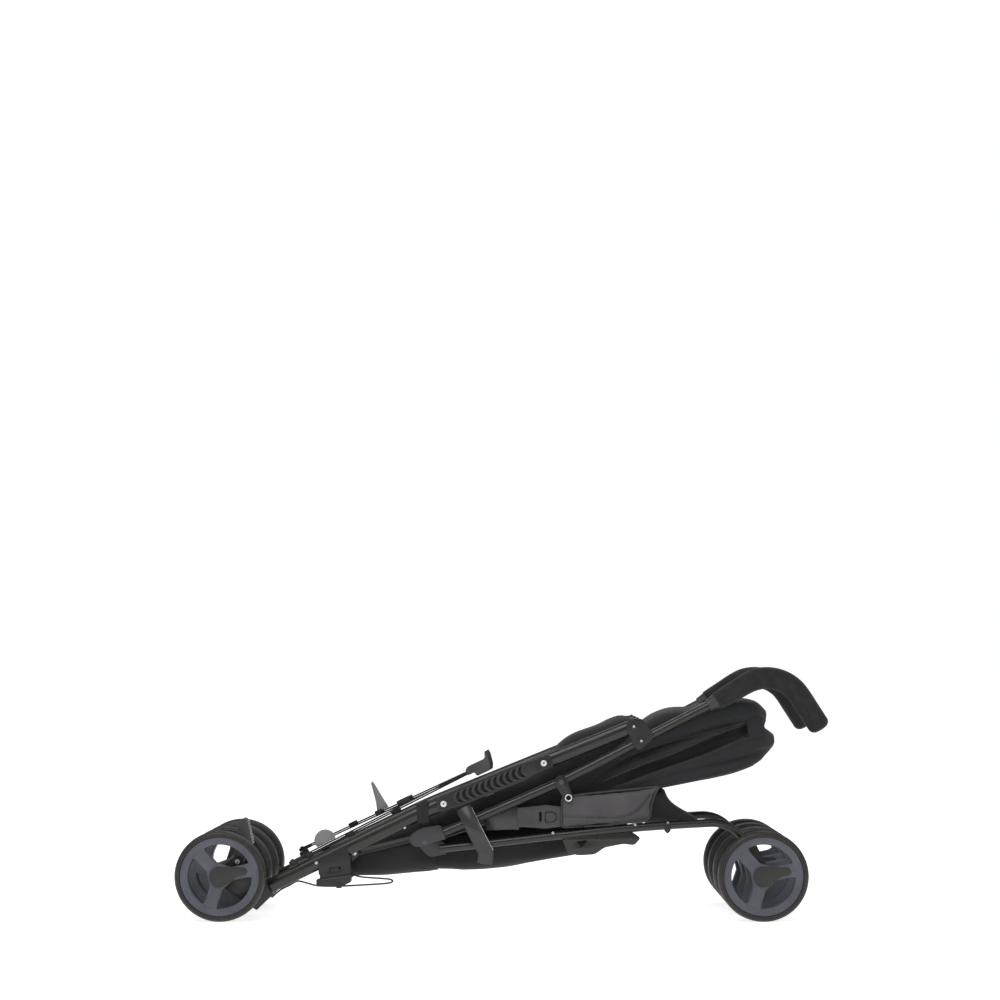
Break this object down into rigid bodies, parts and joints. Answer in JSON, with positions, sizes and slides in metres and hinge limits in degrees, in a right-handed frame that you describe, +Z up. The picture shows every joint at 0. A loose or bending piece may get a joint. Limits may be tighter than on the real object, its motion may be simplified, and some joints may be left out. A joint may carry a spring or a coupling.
{
  "type": "umbrella-fold buggy",
  "caption": "Folded umbrella-fold buggy lying on twin wheels, with foam handles, folded canopy, seat and basket fabric, cross brace, brake pedal and carry handle.",
  "frame": {"origin": "on the surface the folded buggy lies on, under the middle of its length and width", "axes": "+X along the folded buggy towards its handles, +Y from the side with the carry handle to the other side, +Z up"},
  "size_m": [1.0885, 0.276, 0.4221],
  "materials": {
    "black_tube": "satin black powder coat",
    "black_moulding": "fine moulded grain",
    "grey_moulding": "fine moulded grain",
    "pale_moulding": "fine moulded grain",
    "rim_moulding": "satin slate grey moulding",
    "tyre_rubber": "matt foamed rubber",
    "bright_steel": "bright plated",
    "grip_foam": "matt foam",
    "black_fabric": "plain woven polyester",
    "grey_webbing": "satin webbing"
  },
  "bodies": {
    "handle_near": {"handle_tube_near": "black_tube", "grip_near": "grip_foam", "pivot_plate_near": "grey_moulding", "canopy_bracket_near": "black_moulding", "knee_plate_near": "grey_moulding", "canopy": "black_fabric", "seat_fabric": "black_fabric", "harness_pad": "grey_webbing", "harness_buckle": "black_moulding"},
    "handle_far": {"handle_tube_far": "black_tube", "grip_far": "grip_foam", "pivot_plate_far": "grey_moulding", "canopy_bracket_far": "black_moulding", "knee_plate_far": "grey_moulding"},
    "rear_leg_near": {"rear_leg_near": "black_tube", "rear_housing_near": "black_moulding", "stay_bracket_near": "black_moulding", "rear_axle_near": "bright_steel", "carry_handle": "black_moulding", "brake_cable": "black_moulding", "basket_rear": "black_fabric"},
    "rear_leg_far": {"rear_leg_far": "black_tube", "rear_housing_far": "black_moulding", "stay_bracket_far": "black_moulding", "rear_axle_far": "bright_steel"},
    "front_leg_near": {"front_leg_near": "black_tube", "basket_front": "black_fabric", "calf_panel": "black_fabric"},
    "front_leg_far": {"front_leg_far": "black_tube"},
    "stay_near": {"stay_bar_near": "black_tube"},
    "link_near": {"knee_link_near": "black_tube"},
    "brace_near": {"brace_bar_near": "black_tube", "brace_paddle_near": "pale_moulding"},
    "pedal_near": {"brake_pedal_near": "pale_moulding"},
    "caster_near": {"caster_fork_near": "black_moulding", "front_axle_near": "bright_steel"},
    "stay_far": {"stay_bar_far": "black_tube"},
    "link_far": {"knee_link_far": "black_tube"},
    "brace_far": {"brace_bar_far": "black_tube", "brace_paddle_far": "pale_moulding"},
    "caster_far": {"caster_fork_far": "black_moulding", "front_axle_far": "bright_steel"},
    "latch": {"storage_latch": "grey_webbing"},
    "wheel_rear_outer_near": {"tyre_rear_outer_near": "tyre_rubber", "rim_rear_outer_near": "rim_moulding"},
    "wheel_rear_outer_far": {"tyre_rear_outer_far": "tyre_rubber", "rim_rear_outer_far": "rim_moulding"},
    "wheel_rear_inner_near": {"tyre_rear_inner_near": "tyre_rubber", "rim_rear_inner_near": "rim_moulding"},
    "wheel_rear_inner_far": {"tyre_rear_inner_far": "tyre_rubber", "rim_rear_inner_far": "rim_moulding"},
    "wheel_front_outer_near": {"tyre_front_outer_near": "tyre_rubber", "rim_front_outer_near": "rim_moulding"},
    "wheel_front_outer_far": {"tyre_front_outer_far": "tyre_rubber", "rim_front_outer_far": "rim_moulding"},
    "wheel_front_inner_near": {"tyre_front_inner_near": "tyre_rubber", "rim_front_inner_near": "rim_moulding"},
    "wheel_front_inner_far": {"tyre_front_inner_far": "tyre_rubber", "rim_front_inner_far": "rim_moulding"}
  },
  "joints": [
    {"name": "unfold", "type": "hinge", "parent": "handle_near", "child": "front_leg_near", "pos_m": [-0.13122, -0.084, 0.12967], "axis": [0, 1, 0], "range_deg": [0, 137.6]},
    {"name": "rear_leg_fold", "type": "hinge", "parent": "handle_near", "child": "rear_leg_near", "pos_m": [0.21949, -0.084, 0.32291], "axis": [0, 1, 0], "range_deg": [0, 36.1]},
    {"name": "handle_spread", "type": "slide", "parent": "handle_near", "child": "handle_far", "axis": [0, 1, 0], "range_m": [0, 0.1905]},
    {"name": "rear_leg_spread", "type": "slide", "parent": "rear_leg_near", "child": "rear_leg_far", "axis": [0, 1, 0], "range_m": [0, 0.1905]},
    {"name": "front_leg_spread", "type": "slide", "parent": "front_leg_near", "child": "front_leg_far", "axis": [0, 1, 0], "range_m": [0, 0.1905]},
    {"name": "stay_fold_near", "type": "hinge", "parent": "rear_leg_near", "child": "stay_near", "pos_m": [-0.2506, -0.066, 0.1089], "axis": [0, 1, 0], "range_deg": [0, 35.4]},
    {"name": "link_fold_near", "type": "hinge", "parent": "handle_near", "child": "link_near", "pos_m": [-0.13122, -0.072, 0.12967], "axis": [0, -1, 0], "range_deg": [0, 88.4]},
    {"name": "brace_fold_near", "type": "hinge", "parent": "rear_leg_near", "child": "brace_near", "pos_m": [-0.35219, -0.084, 0.09192], "axis": [-0.4368, 0, 0.8996], "range_deg": [0, 42.6]},
    {"name": "brake_near", "type": "hinge", "parent": "rear_leg_near", "child": "pedal_near", "pos_m": [-0.444, -0.084, 0.09695], "axis": [0, -1, 0], "range_deg": [0, 12]},
    {"name": "caster_swivel_near", "type": "hinge", "parent": "front_leg_near", "child": "caster_near", "pos_m": [0.40671, -0.084, 0.12933], "axis": [0.6428, 0, -0.766], "range_deg": [-15, 15]},
    {"name": "stay_fold_far", "type": "hinge", "parent": "rear_leg_far", "child": "stay_far", "pos_m": [-0.2506, 0.066, 0.1089], "axis": [0, 1, 0], "range_deg": [0, 35.4]},
    {"name": "link_fold_far", "type": "hinge", "parent": "handle_far", "child": "link_far", "pos_m": [-0.13122, 0.072, 0.12967], "axis": [0, -1, 0], "range_deg": [0, 88.4]},
    {"name": "brace_fold_far", "type": "hinge", "parent": "rear_leg_far", "child": "brace_far", "pos_m": [-0.35498, 0.084, 0.09767], "axis": [0.4368, 0, -0.8996], "range_deg": [0, 42.6]},
    {"name": "caster_swivel_far", "type": "hinge", "parent": "front_leg_far", "child": "caster_far", "pos_m": [0.40671, 0.084, 0.12933], "axis": [0.6428, 0, -0.766], "range_deg": [-15, 15]},
    {"name": "latch_swing", "type": "hinge", "parent": "rear_leg_near", "child": "latch", "pos_m": [-0.06728, -0.0954, 0.1892], "axis": [-0.9265, 0, -0.3762], "range_deg": [0, 35]},
    {"name": "spin_rear_outer_near", "type": "hinge", "parent": "rear_leg_near", "child": "wheel_rear_outer_near", "pos_m": [-0.4689, -0.125, 0.07535], "axis": [0, 1, 0], "continuous": true},
    {"name": "spin_rear_outer_far", "type": "hinge", "parent": "rear_leg_far", "child": "wheel_rear_outer_far", "pos_m": [-0.4689, 0.125, 0.07535], "axis": [0, 1, 0], "continuous": true},
    {"name": "spin_rear_inner_near", "type": "hinge", "parent": "rear_leg_near", "child": "wheel_rear_inner_near", "pos_m": [-0.4689, -0.043, 0.07535], "axis": [0, 1, 0], "continuous": true},
    {"name": "spin_rear_inner_far", "type": "hinge", "parent": "rear_leg_far", "child": "wheel_rear_inner_far", "pos_m": [-0.4689, 0.043, 0.07535], "axis": [0, 1, 0], "continuous": true},
    {"name": "spin_front_outer_near", "type": "hinge", "parent": "caster_near", "child": "wheel_front_outer_near", "pos_m": [0.4323, -0.125, 0.07535], "axis": [0, 1, 0], "continuous": true},
    {"name": "spin_front_outer_far", "type": "hinge", "parent": "caster_far", "child": "wheel_front_outer_far", "pos_m": [0.4323, 0.125, 0.07535], "axis": [0, 1, 0], "continuous": true},
    {"name": "spin_front_inner_near", "type": "hinge", "parent": "caster_near", "child": "wheel_front_inner_near", "pos_m": [0.4323, -0.043, 0.07535], "axis": [0, 1, 0], "continuous": true},
    {"name": "spin_front_inner_far", "type": "hinge", "parent": "caster_far", "child": "wheel_front_inner_far", "pos_m": [0.4323, 0.043, 0.07535], "axis": [0, 1, 0], "continuous": true}
  ],
  "couplings": [
    {"joint": "rear_leg_fold", "follows": "unfold", "ratio": 0.26163},
    {"joint": "handle_spread", "follows": "unfold", "m_per_rad": 0.079115},
    {"joint": "rear_leg_spread", "follows": "unfold", "m_per_rad": 0.079115},
    {"joint": "front_leg_spread", "follows": "unfold", "m_per_rad": 0.079115},
    {"joint": "stay_fold_near", "follows": "unfold", "ratio": 0.25618},
    {"joint": "link_fold_near", "follows": "unfold", "ratio": 0.64142},
    {"joint": "brace_fold_near", "follows": "unfold", "ratio": 0.30887},
    {"joint": "stay_fold_far", "follows": "unfold", "ratio": 0.25618},
    {"joint": "link_fold_far", "follows": "unfold", "ratio": 0.64142},
    {"joint": "brace_fold_far", "follows": "unfold", "ratio": 0.30887}
  ]
}
